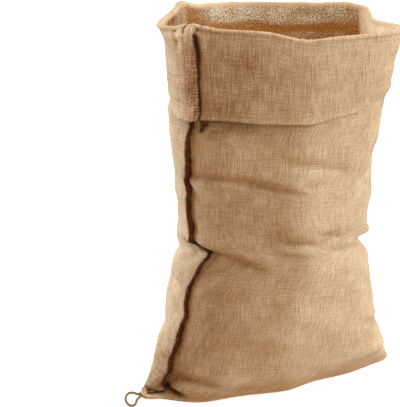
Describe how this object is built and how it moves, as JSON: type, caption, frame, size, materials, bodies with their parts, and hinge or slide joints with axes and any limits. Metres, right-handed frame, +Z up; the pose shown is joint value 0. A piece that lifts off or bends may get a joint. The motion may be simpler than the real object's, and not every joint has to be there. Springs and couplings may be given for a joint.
{
  "type": "open jute sack",
  "caption": "Open woven jute sack standing on its bottom seam, mouth turned down into a deep cuff, with a side seam and a twine loop at one corner.",
  "frame": {"origin": "middle of the bottom of the standing sack's box, on the surface it stands on", "axes": "+Z up through the open mouth; +X along the bottom seam, away from the corner with the twine loop; the side seam is at -X and the long front panel faces -Y"},
  "size_m": [0.6037, 0.3732, 0.7636],
  "materials": {
    "woven_jute": "coarse plain weave, dull",
    "jute_twine": "twisted, hairy, dull"
  },
  "bodies": {
    "root": {"sack_cloth": "woven_jute", "twine_loop": "jute_twine"}
  },
  "joints": []
}
